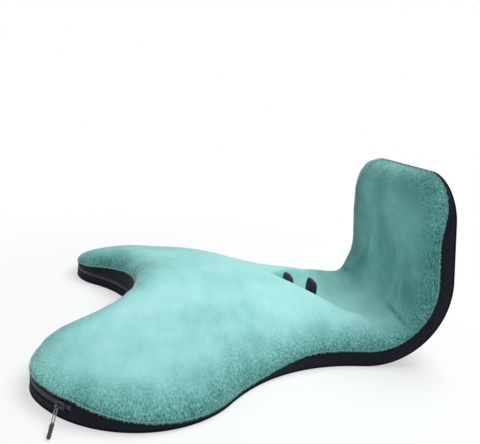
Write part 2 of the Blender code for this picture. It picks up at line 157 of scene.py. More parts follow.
def shown(name, points, quads, finish, caps=None, uv=None, rim=None):
    """Puts points, four-cornered faces and end loops into a smooth mesh object. uv is each point's
    place on the cloth in metres, rim how near it is to a seam. Points that no face uses go."""
    flat = points.reshape(-1, 3)
    loops = np.empty((0, 4), dtype=int) if caps is None else caps
    used, order = np.unique(np.concatenate([quads.ravel(), loops.ravel()]), return_inverse=True)
    quads, loops = order[:quads.size].reshape(-1, 4), order[quads.size:].reshape(loops.shape)
    mesh = bpy.data.meshes.new(name)
    mesh.from_pydata(flat[used].tolist(), [], quads.tolist() + loops.tolist())
    mesh.shade_smooth()
    if uv is not None:
        corner = np.empty(len(mesh.loops), dtype=np.int32)
        mesh.loops.foreach_get("vertex_index", corner)
        layer = mesh.uv_layers.new(name="place")
        layer.uv.foreach_set("vector", uv.reshape(-1, 2)[used][corner].astype(np.float32).ravel())
    if rim is not None:
        layer = mesh.attributes.new("rim", "FLOAT", "POINT")
        layer.data.foreach_set("value", rim.ravel()[used].astype(np.float32))
    made = bpy.data.objects.new(name, mesh)
    scene.collection.objects.link(made)
    mesh.materials.append(finish.material)
    return made


# The floor and the light. A plain pale floor that runs out to the white of the backdrop, one
# broad lamp overhead, two soft ones from the left and the front, and light from all round.
floor_reach = 6.0
floor_paint = Finish("floor", Roughness=0.9)
floor_paint.give("Base Color", (0.86, 0.88, 0.89, 1.0))
floor_place = floor_paint.place()
distance = floor_paint.node("ShaderNodeVectorMath", {"operation": "LENGTH"}, [floor_place], output=1)
fade = floor_paint.node("ShaderNodeMapRange", {"interpolation_type": "SMOOTHSTEP"},
                        [distance, 0.20, 0.62, 0.0, 1.0])
light_path = floor_paint.node("ShaderNodeLightPath", {}, output="Is Camera Ray")
glow = floor_paint.node("ShaderNodeEmission", {}, [(1.0, 1.0, 1.0, 1.0), 1.0])
floor_paint.shader.inputs["Specular IOR Level"].default_value = 0.0
floor_mix = floor_paint.node("ShaderNodeMixShader", {},
                             [(fade * 0.45 + 0.55) * light_path,
                              Value(floor_paint, floor_paint.shader.outputs[0]), glow])
floor_paint.feed(floor_paint.nodes["Material Output"].inputs["Surface"], floor_mix)
floor_drop = 0.0004  # keeps the floor clear of the base's own face
corners = np.array([[-1, -1, 0], [1, -1, 0], [1, 1, 0], [-1, 1, 0]]) * floor_reach
floor = shown("floor", corners - [0, 0, floor_drop], np.array([[0, 1, 2, 3]]), floor_paint)

world = bpy.data.worlds.new("studio")
scene.world = world
world.use_nodes = True
world.node_tree.nodes["Background"].inputs["Color"].default_value = (0.93, 0.97, 1.0, 1.0)
world.node_tree.nodes["Background"].inputs["Strength"].default_value = 0.38
seen = world.node_tree.nodes.new("ShaderNodeBackground")
rays = world.node_tree.nodes.new("ShaderNodeLightPath")
mixed = world.node_tree.nodes.new("ShaderNodeMixShader")
direct = world.node_tree.nodes.new("ShaderNodeMath")
direct.operation = "MAXIMUM"
world_links = world.node_tree.links
world_links.new(rays.outputs["Is Camera Ray"], direct.inputs[0])
world_links.new(rays.outputs["Is Glossy Ray"], direct.inputs[1])
world_links.new(direct.outputs[0], mixed.inputs[0])
world_links.new(world.node_tree.nodes["Background"].outputs[0], mixed.inputs[1])
world_links.new(seen.outputs[0], mixed.inputs[2])
world_links.new(mixed.outputs[0], world.node_tree.nodes["World Output"].inputs["Surface"])
seen.inputs["Color"].default_value = (1.0, 1.0, 1.0, 1.0)
seen.inputs["Strength"].default_value = 1.0

for name, place, size, power, colour in (
        ("lamp_key", (0.42, 0.10, 1.30), 0.9, 16.0, (1.0, 1.0, 0.99)),
        ("lamp_left", (-1.1, -0.55, 0.75), 0.8, 1.6, (0.97, 0.99, 1.0)),
        ("lamp_front", (0.35, -1.3, 0.7), 0.8, 1.6, (0.97, 0.99, 1.0))):
    lamp_data = bpy.data.lights.new(name, "AREA")
    lamp_data.energy = power
    lamp_data.size = size
    lamp_data.color = colour
    lamp = bpy.data.objects.new(name, lamp_data)
    lamp.location = place
    lamp.rotation_euler = (Vector((0.0, 0.0, 0.05)) - Vector(place)).to_track_quat("-Z", "Y").to_euler()
    scene.collection.objects.link(lamp)

# The plush panel. One piece of short-pile cloth, cut to the outline and pulled over the
# moulded foam from seam to seam; it is laid out flat first, then turned up with the back.
lobe_radius, lobe_spread, lobe_reach = 0.106, 0.231, 0.250
notch_radius, notch_lead, tip_radius = 0.116, 0.009, 0.053
waist_radius, back_width, corner_radius = 0.203, 0.218, 0.047
bend_radius, lean, back_straight = 0.089, radians(11), 0.115
bend_angle = pi / 2 + lean
form_end = bend_radius * bend_angle + back_straight
middle_x = -0.12941161718083705

notch_centre = np.array([-lobe_reach - notch_lead - notch_radius, 0.0])
lobe_centre = np.array([-lobe_reach, -lobe_spread / 2])
centre_gap = lobe_centre - notch_centre
gap_length = sqrt(centre_gap @ centre_gap)
gap_along = (gap_length ** 2 + (notch_radius + tip_radius) ** 2
             - (lobe_radius - tip_radius) ** 2) / (2 * gap_length)
gap_across = sqrt((notch_radius + tip_radius) ** 2 - gap_along ** 2)
gap_way = centre_gap / gap_length
tip_centre = notch_centre + gap_along * gap_way + gap_across * np.array([gap_way[1], -gap_way[0]])
waist_drop = lobe_centre[1] + back_width / 2 + waist_radius
waist_centre = np.array([lobe_centre[0] + sqrt((lobe_radius + waist_radius) ** 2 - waist_drop ** 2),
                         -back_width / 2 - waist_radius])
corner_centre = np.array([form_end - corner_radius, corner_radius - back_width / 2])


def heading(way):
    """Direction of a flat vector, from 0 to a full turn."""
    return atan2(way[1], way[0]) % (2 * pi)


# Each stretch of the near half: an arc's centre, radius and two angles, or a line's two ends.
near_half = (
    (notch_centre, notch_radius, 0.0, heading(tip_centre - notch_centre) - 2 * pi),
    (tip_centre, tip_radius, heading(notch_centre - tip_centre), heading(tip_centre - lobe_centre)),
    (lobe_centre, lobe_radius, heading(tip_centre - lobe_centre), heading(waist_centre - lobe_centre)),
    (waist_centre, waist_radius, heading(lobe_centre - waist_centre), pi / 2),
    (np.array([waist_centre[0], -back_width / 2]), np.array([corner_centre[0], -back_width / 2])),
    (corner_centre, corner_radius, -pi / 2, 0.0),
    (np.array([form_end, corner_centre[1]]), np.array([form_end, 0.0])),
)
stretch_lengths = np.array([np.hypot(*(part[1] - part[0])) if len(part) == 2
                            else abs(part[3] - part[2]) * part[1] for part in near_half])
stretch_starts = np.concatenate([[0.0], np.cumsum(stretch_lengths)])
half_length = stretch_starts[-1]


def outline(run):
    """Places and outward normals on the edge of the flat form at distances from the notch's middle.
    An arc gives centre + radius * (cos, sin) of its angle; the far half mirrors the near one."""
    run = np.asarray(run, dtype=float) % (2 * half_length)
    side = np.where(run <= half_length, 1.0, -1.0)
    near = np.minimum(run, 2 * half_length - run)
    place = np.zeros(run.shape + (2,))
    normal = np.zeros(run.shape + (2,))
    for index, part in enumerate(near_half):
        inside = (near >= stretch_starts[index]) & (near <= stretch_starts[index + 1] + 1e-12)
        share = (near[inside] - stretch_starts[index]) / stretch_lengths[index]
        if len(part) == 2:
            way = (part[1] - part[0]) / stretch_lengths[index]
            place[inside] = part[0] + share[:, None] * (part[1] - part[0])
            normal[inside] = (way[1], -way[0])
        else:
            angle = part[2] + (part[3] - part[2]) * share
            ray = np.column_stack([np.cos(angle), np.sin(angle)])
            place[inside] = part[0] + part[1] * ray
            normal[inside] = ray * np.sign(part[3] - part[2])
    flip = np.stack([np.ones_like(side), side], axis=-1)
    return place * flip, normal * flip


def smooth(value):
    """Eases from 0 to 1, level at both ends."""
    value = np.clip(value, 0.0, 1.0)
    return value * value * (3.0 - 2.0 * value)


zip_half_length = 0.256
notch_seam, front_seam, waist_seam, back_seam, top_seam = 0.042, 0.021, 0.006, 0.019, 0.006
notch_fall_length = 0.190


def seam_height(run, u):
    """Height of the plush seam: highest in the notch, eased down to the lobes, falling as a square
    to the waist and eased up again to the back."""
    near = np.minimum(run % (2 * half_length), -run % (2 * half_length))
    fall = np.clip((near - zip_half_length) / 0.125, 0.0, 1.0)
    rise = smooth((u + 0.147) / 0.090)
    low = waist_seam + (front_seam - waist_seam) * (1 - fall) ** 2 + (back_seam - waist_seam) * rise
    low = low + (top_seam - back_seam) * smooth((u - 0.195) / 0.075)
    ahead = notch_seam + (front_seam - notch_seam) * smooth(near / notch_fall_length)
    return np.where(near <= zip_half_length, ahead, low)


# The foam's thickness on the centre line, and how fast it falls away to the sides, by place.
crest_stations = np.array((
    (-0.356, 0.044), (-0.290, 0.057), (-0.230, 0.063), (-0.150, 0.067), (-0.090, 0.064),
    (-0.030, 0.060), (0.020, 0.051), (0.048, 0.040), (0.070, 0.029), (0.090, 0.032),
    (0.125, 0.033), (0.266, 0.029)))
dome_stations = np.array((
    (-0.356, 0.75), (-0.250, 0.80), (-0.150, 1.25), (-0.090, 2.30), (-0.030, 2.20),
    (0.030, 1.00), (0.090, 0.30), (0.266, 0.30)))
hollow_ahead, hollow_length, hollow_half_width, hollow_floor = 0.094, 0.270, 0.087, 0.020
hollow_steepness, hollow_softness = 2.5, 0.12


def through(stations, spot):
    """A smooth curve through stations: cubic steps whose slopes follow the neighbours."""
    places, levels = stations.T
    slopes = np.gradient(levels, places)
    spot = np.clip(spot, places[0], places[-1])
    index = np.clip(np.searchsorted(places, spot, side="right") - 1, 0, len(places) - 2)
    width = places[index + 1] - places[index]
    share = (spot - places[index]) / width
    return ((1 + 2 * share) * (1 - share) ** 2 * levels[index]
            + share ** 2 * (3 - 2 * share) * levels[index + 1]
            + share * (1 - share) ** 2 * slopes[index] * width
            + share ** 2 * (share - 1) * slopes[index + 1] * width)


def thickness(u, v):
    """Foam thickness: the crest curve along u, less the dome curve times v^2, and pressed down to
    the floor in the hollow by sqrt(sin) along it and 1 - |v / width|^2.5 across. The hollow's rim
    is rounded off, and more so where it runs out up the back."""
    full = through(crest_stations, u) - through(dome_stations, u) * v ** 2
    reach = np.sin(pi * np.clip((u + hollow_ahead) / hollow_length, 0, 1))
    half_width = np.maximum(hollow_half_width * reach, 1e-6)
    inside = 1 - np.minimum(np.abs(v) / half_width, 9) ** hollow_steepness
    softness = hollow_softness * (1 + 3.5 * smooth((u - 0.075) / 0.100))
    bowl = (inside + np.sqrt(inside ** 2 + softness ** 2)) / 2
    return full - (full - hollow_floor) * np.sqrt(reach) * np.minimum(bowl, 1)


def rolled(u, v, h):
    """Flat places turned up round the bend: a circle of bend_radius, then straight."""
    turn = np.clip(u / bend_radius, 0.0, bend_angle)
    straight = u - turn * bend_radius
    x = (bend_radius - h) * np.sin(turn) + straight * np.cos(turn) - middle_x
    z = bend_radius - (bend_radius - h) * np.cos(turn) + straight * np.sin(turn)
    return np.stack([x, v, z], axis=-1)


# Cross rows run from the edge to a spine: it forks where the lobes part, out to a place in each
# lobe and back. These are distances round the near half and the spine places that they meet.
fork_place, lobe_place = (-0.135, 0.0), (-0.2616, -0.1375)
lobe_turn, fork_turn = 0.2433, 0.4013
fork_share = 0.112  # of all columns, how many meet each side of a lobe's branch
spine_runs = np.array([0.0, lobe_turn, fork_turn, stretch_starts[4], stretch_starts[5], half_length])
spine_places = np.array([fork_place, lobe_place, fork_place, (waist_centre[0], 0.0), (0.185, 0.0),
                         (0.222, 0.0)])
shoulder = 0.024
columns = 680


def ring_runs(count):
    """Distances round the outline from the notch's middle, even within each stretch: the same
    number of columns goes to both sides of a lobe's spine, so that they meet on it."""
    fork = round(count * fork_share)
    near = np.interp(np.arange(count // 2 + 1), (0, fork, 2 * fork, count // 2),
                     (0.0, lobe_turn, fork_turn, half_length))
    return np.concatenate([near, 2 * half_length - near[-2:0:-1]])


def inward(run, depth, share):
    """Flat places inside the outline: depth metres in from the edge, then by share to the spine."""
    place, normal = outline(run)
    near = np.minimum(run, 2 * half_length - run)
    foot = np.stack([np.interp(near, spine_runs, spine_places[:, 0]),
                     np.interp(near, spine_runs, spine_places[:, 1]) * np.where(run <= half_length, 1, -1)],
                    axis=-1)
    edge = place - normal * depth
    return edge + (foot - edge) * share


def folded(rows, count, first=0, start=False):
    """Point numbers of rows closed round, whose last row (and first, with start) is the spine:
    the two sides of each of its branches share their points."""
    index = first + np.arange(rows * count).reshape(rows, count)
    fork = round(count * fork_share)
    near = np.minimum(np.arange(count), -np.arange(count) % count)
    branch = np.minimum(near, 2 * fork - near)
    halves = np.where(near > 2 * fork, near, np.where(np.arange(count) > count // 2, -branch % count, branch))
    index[-1] = index[-1][halves]
    if start:
        index[0] = index[0][halves]
    return index


def quads_of(index):
    """The quads between neighbouring rows of point numbers, closed round."""
    after = np.roll(index, -1, axis=-1)
    return np.stack([index[:-1], after[:-1], after[1:], index[1:]], axis=-1).reshape(-1, 4)


def ripple(run, waves, seed):
    """An uneven wave round the outline: sines of whole numbers of waves with seeded phases."""
    phases = np.random.default_rng(seed).uniform(0, 2 * pi, len(waves))
    turns = run / (2 * half_length) * 2 * pi
    return sum(np.sin(count * turns + phase) for count, phase in zip(waves, phases)) / len(waves)


# Folds and dents in the plush, as the photograph shows them: where each starts and ends on the
# flat form, how wide and how deep it is. A negative depth is a ridge.
folds = (
    (-0.143, -0.162, -0.112, -0.108, 0.0070, 0.0064), (-0.116, -0.156, -0.086, -0.108, 0.0080, -0.0036),
    (-0.052, -0.112, -0.022, -0.070, 0.0075, 0.0046), (-0.028, -0.112, -0.002, -0.076, 0.0080, -0.0022),
    (0.074, -0.098, 0.083, -0.036, 0.0030, 0.0070), (0.064, -0.100, 0.069, -0.056, 0.0050, -0.0026),
    (0.098, -0.060, 0.190, -0.034, 0.0045, 0.0032), (0.100, -0.044, 0.170, -0.018, 0.0060, -0.0022),
    (-0.140, 0.160, -0.110, 0.116, 0.0090, 0.0040), (-0.050, 0.112, -0.026, 0.076, 0.0080, 0.0036),
    (0.076, 0.104, 0.081, 0.050, 0.0028, 0.0040), (0.100, 0.056, 0.185, 0.030, 0.0050, 0.0026),
    (-0.318, 0.112, -0.290, 0.098, 0.0090, 0.0022), (-0.322, -0.190, -0.296, -0.160, 0.0090, 0.0018),
    (-0.236, -0.060, -0.190, -0.040, 0.0160, 0.0014), (-0.190, -0.150, -0.160, -0.110, 0.0160, 0.0016))


def pressed(u, v):
    """How deep the folds press the plush: for each, depth * exp(-(distance / width)^2), where
    distance is to the nearest place on the fold's line."""
    total = np.zeros_like(u)
    for u_a, v_a, u_b, v_b, width, depth in folds:
        length = (u_b - u_a) ** 2 + (v_b - v_a) ** 2
        share = np.clip(((u - u_a) * (u_b - u_a) + (v - v_a) * (v_b - v_a)) / length, 0, 1)
        gap = np.hypot(u - u_a - share * (u_b - u_a), v - v_a - share * (v_b - v_a))
        total += depth * np.exp(-(gap / width) ** 2) * (0.35 + 0.65 * np.sin(pi * share))
    return total


def crown(layer, inner_rows, outer_rows, overhang=0.0, count=columns, folded_in=0.0):
    """The crown, a layer's depth outside the foam: a quarter ellipse from the seam up over the
    shoulder that swells over the seam by overhang * sin(2 * angle), then rows to the spine at the
    foam's thickness. Returns flat u, v, h, and how near the seam each point is."""
    run = ring_runs(count)
    place, normal = outline(run)
    seam = seam_height(run, place[:, 0])
    gather = ripple(run, [43, 61, 89, 113], 4)
    flat = []
    rim = []
    for angle in pi / 2 * np.linspace(0, 1, outer_rows) ** 1.4:
        swell = overhang * sin(2 * angle) * (1 + 0.5 * gather)
        offset = -shoulder + (shoulder + layer) * cos(angle) + swell
        spot = place + normal * (offset[:, None] if np.ndim(offset) else offset)
        full = thickness(spot[:, 0], spot[:, 1]) - folded_in * pressed(spot[:, 0], spot[:, 1])
        flat.append(np.column_stack([spot, seam + (full - seam + layer) * sin(angle)]))
        rim.append(np.full(count, 0.36 + 0.64 * cos(angle)))
    for share in np.linspace(0, 1, inner_rows + 1)[1:]:
        spot = inward(run, shoulder, share)
        full = thickness(spot[:, 0], spot[:, 1]) - folded_in * pressed(spot[:, 0], spot[:, 1])
        flat.append(np.column_stack([spot, full + layer]))
        rim.append(np.full(count, 0.36 * (1 - share) ** 3))
    return np.array(flat), np.array(rim)


plush = Finish("plush", Roughness=0.85)
plush.shader.inputs["Specular IOR Level"].default_value = 0.12
plush.shader.inputs["Sheen Weight"].default_value = 0.45
plush.shader.inputs["Sheen Roughness"].default_value = 0.40
plush.shader.inputs["Sheen Tint"].default_value = (0.70, 1.0, 0.95, 1.0)
cloth_place = plush.place()
rim_value = plush.node("ShaderNodeAttribute", {"attribute_name": "rim"}, output="Fac")
patches = plush.noise(cloth_place, 11.0, 2.0, 0.5, (1.0, 1.5, 1.0))
strokes = plush.noise(cloth_place, 70.0, 3.0, 0.6, (1.0, 0.4, 0.7))
tufts = plush.noise(cloth_place, 640.0, 2.0, 0.65, (1.0, 0.8, 0.6))
grain = plush.noise(cloth_place, 1300.0, 1.0, 0.5)
# Painted shade: side darkens the plush down its shoulders to the seam, where the sides turn from the light;
# less so on the back's face.
side = rim_value ** 1.4
# Painted shade: the back's face and the far lobe are darkened in the colour, where less light falls on them.
along_form, across_form = (plush.node("ShaderNodeSeparateXYZ", {}, [plush.place("UV")], output=index)
                           for index in (0, 1))
painted_back_shade = plush.node("ShaderNodeMapRange", {"interpolation_type": "SMOOTHSTEP"},
                     [along_form, 0.02, 0.13, 0.0, 1.0])
painted_far_lobe_shade = plush.node("ShaderNodeMapRange", {"interpolation_type": "SMOOTHSTEP"},
                         [across_form, 0.02, 0.17, 0.0, 1.0])
tone = (0.68 + (patches - 0.5) * 0.44 + (strokes - 0.5) * 0.20 - painted_back_shade * 0.25 - painted_far_lobe_shade * 0.14
        + (tufts - 0.5) * (rim_value ** 3.0 * 0.95 + 0.20) - side * (0.33 - painted_back_shade * 0.17)
        # Painted highlight: the colour is lighter right along the seam row.
        + plush.node("ShaderNodeMapRange", {}, [rim_value, 0.9975, 1.0, 0.0, 0.30]))
plush.give("Base Color", plush.node("ShaderNodeValToRGB", {"stops": (
    (0.16, (0.036, 0.140, 0.128)), (0.40, (0.130, 0.375, 0.350)),
    (0.62, (0.300, 0.645, 0.620)), (0.84, (0.450, 0.800, 0.785)))}, [tone]))
plush.bump(tufts * 0.65 + grain * 0.35, 0.5, 0.0010)

pile_out, backing_in = 0.0025, 0.0004  # the panel's two faces, outside the foam
panel_rows, shoulder_rows = 44, 16
outer, rim = crown(pile_out, panel_rows, shoulder_rows, 0.0016, folded_in=1.0)
inner, _ = crown(backing_in, panel_rows, shoulder_rows, 0.0014, folded_in=1.0)
rows = len(outer)
top_index = folded(rows, columns)
under_index = folded(rows, columns, rows * columns)
hem = np.stack([under_index[0], top_index[0]])
plush_points = rolled(*np.moveaxis(np.concatenate([outer, inner]), -1, 0))
plush_quads = np.concatenate([quads_of(top_index), quads_of(under_index)[:, ::-1], quads_of(hem)])
panel = shown("plush_panel", plush_points, plush_quads, plush,
              uv=np.concatenate([outer, inner])[..., :2], rim=np.concatenate([rim, rim]))
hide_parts("top_cover")
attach(panel, "cushion")

# The foam body. One block of polyurethane foam, moulded to the form and slipped into the cover
# through the zip; none of it shows while the cover is on.
foam = Finish("foam", Roughness=0.95)
foam_place = foam.place()
cells = foam.noise(foam_place, 700.0, 2.0, 0.5)
foam.give("Base Color", foam.blend(cells, (0.62, 0.58, 0.46, 1.0), (0.78, 0.75, 0.64, 1.0)))
foam.bump(cells, 0.4, 0.0006)

foam_count, foam_foot, foam_inset = 340, 0.0018, 0.004
foam_run = ring_runs(foam_count)
top, _ = crown(0.0, 24, 8, 0.0012, foam_count, folded_in=1.0)
wall, _ = outline(foam_run)
foot = [np.column_stack([wall, np.full(foam_count, foam_foot)])]
for share in np.linspace(0, 1, 9):
    foot.append(np.column_stack([inward(foam_run, foam_inset, share), np.full(foam_count, foam_foot)]))
foot = np.array(foot)
body_index = np.concatenate([folded(len(foot), foam_count, len(top) * foam_count)[::-1],
                             folded(len(top), foam_count)])
foam_body = shown("foam_body", rolled(*np.moveaxis(np.concatenate([top, foot]), -1, 0)),
                  quads_of(body_index), foam)
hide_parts("foam_core")
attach(foam_body, "cushion")

# The side band of the rear. A strip of smooth navy knit, sewn right sides together to the plush
# above and the base below, so that it swells between its two seams and puckers along them.
knit = Finish("navy_knit", Roughness=0.80)
knit.shader.inputs["Specular IOR Level"].default_value = 0.16
knit.shader.inputs["Sheen Weight"].default_value = 0.06
knit.shader.inputs["Sheen Roughness"].default_value = 0.5
knit_place = knit.place()
knit_tone = knit.noise(knit_place, 45.0, 3.0, 0.6)
knit_loops = knit.noise(knit_place, 1500.0, 1.0, 0.5)
lint = knit.noise(knit_place, 420.0, 2.0, 0.6)
knit.give("Base Color", knit.node("ShaderNodeValToRGB", {"stops": (
    (0.30, (0.0028, 0.0034, 0.0080)), (0.55, (0.0052, 0.0060, 0.0135)),
    (0.80, (0.0100, 0.0105, 0.0220)))}, [knit_tone * 0.55 + knit_loops * 0.25 + lint * 0.20]))
knit.bump(knit_loops * 0.7 + lint * 0.3, 0.35, 0.0005)


def along_edge(run, offset, height):
    """Places at run, an offset outward and a height: broadcast together, then rolled."""
    run, offset, height = np.broadcast_arrays(run, offset, height)
    place, normal = outline(run)
    spot = place + normal * offset[..., None]
    return rolled(spot[..., 0], spot[..., 1], height)


def tubes(points):
    """Tubes side by side: points holds tube, row, place round the section. Gives their quads and
    the loops that close their ends, each tube turned so that its faces point outwards."""
    number, rows, around, _ = points.shape
    index = np.arange(number * rows * around).reshape(number, rows, around)
    after = np.roll(index, -1, axis=2)
    quads = np.stack([index[:, :-1], after[:, :-1], after[:, 1:], index[:, 1:]], axis=-1)
    corners = points.reshape(-1, 3)[quads]
    normals = np.cross(corners[..., 2, :] - corners[..., 0, :], corners[..., 3, :] - corners[..., 1, :])
    middles = points.mean(axis=2)
    spine = (middles[:, :-1] + middles[:, 1:]) / 2
    facing = ((corners.mean(axis=-2) - spine[:, :, None]) * normals).sum(axis=(1, 2, 3))
    turned = facing < 0
    quads[turned] = quads[turned][..., ::-1]
    caps = np.stack([index[:, 0, ::-1], index[:, -1]], axis=1)
    caps[turned] = caps[turned][..., ::-1]
    return quads.reshape(-1, 4), caps.reshape(-1, around)


def band(name, run, low, high, inside, finish, swell=0.055, pucker=0.00025, seed=11):
    """A strip round the edge from low to high. Its face stands out by swell * its height *
    sin(pi * share)^0.7 between the seams, with puckers that die away from the upper seam."""
    share = np.linspace(0, 1, 13)
    wave = ripple(run, [71, 97, 131, 173], seed)[:, None]
    tall = (high - low)[:, None] if np.ndim(high) else np.full((len(run), 1), high - low)
    height = low + tall * share
    offset = 0.0023 + swell * tall * np.sin(pi * share) ** 0.7 + pucker * wave * share ** 3
    offset = offset - 0.0005 * (share ** 10 + (1 - share) ** 10)
    height = np.concatenate([height, height[:, -1:], height[:, :1]], axis=1)
    offset = np.concatenate([offset, np.full((len(run), 2), inside)], axis=1)
    points = along_edge(run[:, None], offset, height)
    quads, caps = tubes(points[None])
    uv = np.stack(np.broadcast_arrays(run[:, None], height), axis=-1)
    made = shown(name, points, quads, finish, caps, uv)
    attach(made, "cushion")
    return made


band_foot, seam_gap = 0.0018, 0.0003
rear_run = np.linspace(zip_half_length + seam_gap, 2 * half_length - zip_half_length - seam_gap, 1100)
rear_seam = seam_height(rear_run, outline(rear_run)[0][:, 0])
rear_band = band("rear_band", rear_run, band_foot, rear_seam - seam_gap, 0.0003, knit)
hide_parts("rear_gusset")

# The two front strips. The same knit above and below the zip, each folded back to a hem beside
# the teeth and topstitched through the tape.
zip_height, reveal = 0.0132, 0.0042
front_run = np.linspace(-zip_half_length, zip_half_length, 520)
front_seam_line = seam_height(front_run, outline(front_run)[0][:, 0])
upper_strip = band("front_strip_upper", front_run, zip_height + reveal, front_seam_line - seam_gap,
                   0.0013, knit, seed=12)
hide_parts("front_gusset_upper")
lower_strip = band("front_strip_lower", front_run, band_foot, zip_height - reveal, 0.0013, knit,
                   swell=0.07, seed=13)
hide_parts("front_gusset_lower")

thread = Finish("navy_thread", Roughness=0.55)
thread.give("Base Color", thread.blend(thread.noise(thread.place(), 900.0), (0.020, 0.022, 0.036, 1.0),
                                       (0.038, 0.041, 0.060, 1.0)))
stitch_pitch, stitch_length = 0.0030, 0.0024
stitch_run = np.arange(-zip_half_length + 0.003, zip_half_length - 0.003, stitch_pitch)
along = np.linspace(-0.5, 0.5, 6) * stitch_length
turn = np.arange(6) / 6 * 2 * pi
thin = np.array([0.45, 0.9, 1.0, 1.0, 0.9, 0.45]) * 0.00022
rise = np.array([-0.0003, 0.0001, 0.0002, 0.0002, 0.0001, -0.0003])
stitch_rows = []
for side_of_zip in (1, -1):
    level = zip_height + side_of_zip * (reveal + 0.0012)
    stitch_rows.append(along_edge(
        stitch_run[:, None, None] + along[:, None] + 0 * turn,
        0.0024 + 0.0004 + rise[:, None] + thin[:, None] * np.cos(turn) + 0 * stitch_run[:, None, None],
        level + thin[:, None] * np.sin(turn) + 0 * stitch_run[:, None, None]))
stitch_points = np.concatenate(stitch_rows)
stitch_quads, stitch_caps = tubes(stitch_points)
stitches = shown("zip_stitches", stitch_points, stitch_quads, thread, stitch_caps)
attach(stitches, "cushion")

# The pile fringe. Strands at the plush's cut edge that were not caught in the seam; they stick
# out along it and hang a millimetre or two over the band.
pile = Finish("pile_fringe", Roughness=0.8)
pile.shader.inputs["Specular IOR Level"].default_value = 0.1
pile.give("Base Color", pile.blend(pile.noise(pile.place(), 350.0), (0.110, 0.330, 0.305, 1.0),
                                   (0.420, 0.740, 0.700, 1.0)))
chance = np.random.default_rng(7)
strands = 5600
strand_run = (np.arange(strands) + chance.uniform(0, 1, strands)) * 2 * half_length / strands
strand_seam = seam_height(strand_run, outline(strand_run)[0][:, 0])
strand_long = chance.uniform(0.0008, 0.0027, (strands, 1, 1))
strand_lean = chance.normal(0, 0.0008, (strands, 1, 1))
strand_share = np.array([0.0, 0.5, 1.0])[:, None]
strand_thick = np.array([0.00030, 0.00024, 0.00005])[:, None]
strand_turn = np.arange(3) / 3 * 2 * pi
strand_points = along_edge(
    strand_run[:, None, None] + strand_lean * strand_share ** 1.5 + strand_thick * np.cos(strand_turn),
    0.0032 + strand_long * 0.30 * strand_share + strand_thick * np.sin(strand_turn),
    strand_seam[:, None, None] + 0.0012 - strand_long * strand_share + 0 * strand_turn)
strand_quads, strand_caps = tubes(strand_points)
fringe = shown("pile_fringe", strand_points, strand_quads, pile, strand_caps)
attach(fringe, "cushion")

# The base cover. One panel of the same navy knit under the stand and up the rear of the back,
# seamed to the bands all round; the seam allowance makes a small rolled edge.
base_count, base_inset, base_thick = 520, 0.003, 0.0015
base_run = ring_runs(base_count)
base_place, base_normal = outline(base_run)
base_rows = []
for share in np.linspace(1, 0, 12):
    base_rows.append(np.column_stack([inward(base_run, base_inset, share), np.zeros(base_count)]))
for offset, height in ((0.0016, 0.0), (0.0026, 0.0002), (0.0032, 0.0008), (0.0026, 0.0014),
                       (0.0014, 0.0016)):
    base_rows.append(np.column_stack([base_place + base_normal * offset, np.full(base_count, height)]))
for share in np.linspace(0, 1, 6):
    base_rows.append(np.column_stack([inward(base_run, base_inset, share),
                                      np.full(base_count, base_thick)]))
base_rows = np.array(base_rows)
base_panel = shown("base_panel", rolled(*np.moveaxis(base_rows, -1, 0)),
                   quads_of(folded(len(base_rows), base_count, start=True)), knit,
                   uv=base_rows[..., :2])
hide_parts("bottom_cover")
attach(base_panel, "cushion")

# The zip. Two woven tapes behind the strips, a nylon coil sewn to each so that the teeth of one
# lock between those of the other, and a metal clamp over both at either end.
tape = Finish("zip_tape", Roughness=0.75)
tape_place = tape.place("UV")
tape_ribs = tape.node("ShaderNodeTexWave", {"wave_type": "BANDS", "bands_direction": "X"},
                      {"Vector": tape_place, "Scale": 260.0, "Distortion": 0.6, "Detail": 1.0}, output=1)
tape_cross = tape.node("ShaderNodeTexWave", {"wave_type": "BANDS", "bands_direction": "Y"},
                       {"Vector": tape_place, "Scale": 420.0, "Distortion": 0.4}, output=1)
tape.give("Base Color", tape.blend(tape_ribs * 0.6 + tape_cross * 0.4, (0.0040, 0.0045, 0.0085, 1.0),
                                   (0.0120, 0.0130, 0.0220, 1.0)))
tape.bump(tape_ribs * 0.6 + tape_cross * 0.4, 0.5, 0.0004)
tape_width, tape_play = 0.011, 0.00015
for name, node, low, high in (
        ("tape_upper", "zip_tape_upper", zip_height + tape_play,
         np.minimum(zip_height + tape_width, front_seam_line - seam_gap)),
        ("tape_lower", "zip_tape_lower", zip_height - tape_width, zip_height - tape_play)):
    edge_low = np.broadcast_to(low, front_run.shape)[:, None]
    edge_high = np.broadcast_to(high, front_run.shape)[:, None]
    span = np.array([0.0, 0.25, 0.5, 0.75, 1.0])
    height = edge_low + (edge_high - edge_low) * span
    height = np.concatenate([height, height[:, ::-1]], axis=1)
    offset = np.repeat([0.0010, 0.0003], 5)[None]
    points = along_edge(front_run[:, None], offset, height)
    quads, caps = tubes(points[None])
    strip = shown(name, points, quads, tape, caps,
                  uv=np.stack(np.broadcast_arrays(front_run[:, None], height), axis=-1))
    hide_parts(node)
    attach(strip, "cushion")

nylon = Finish("zip_nylon", Roughness=0.38)
nylon_place = nylon.place()
nylon.give("Base Color", nylon.blend(nylon.noise(nylon_place, 260.0), (0.032, 0.037, 0.054, 1.0),
                                     (0.075, 0.085, 0.112, 1.0)))
tooth_pitch = 0.0016
comb_half = zip_half_length - 0.0038
tooth_run = np.arange(-comb_half, comb_half, tooth_pitch)
around = np.arange(6) / 6 * 2 * pi
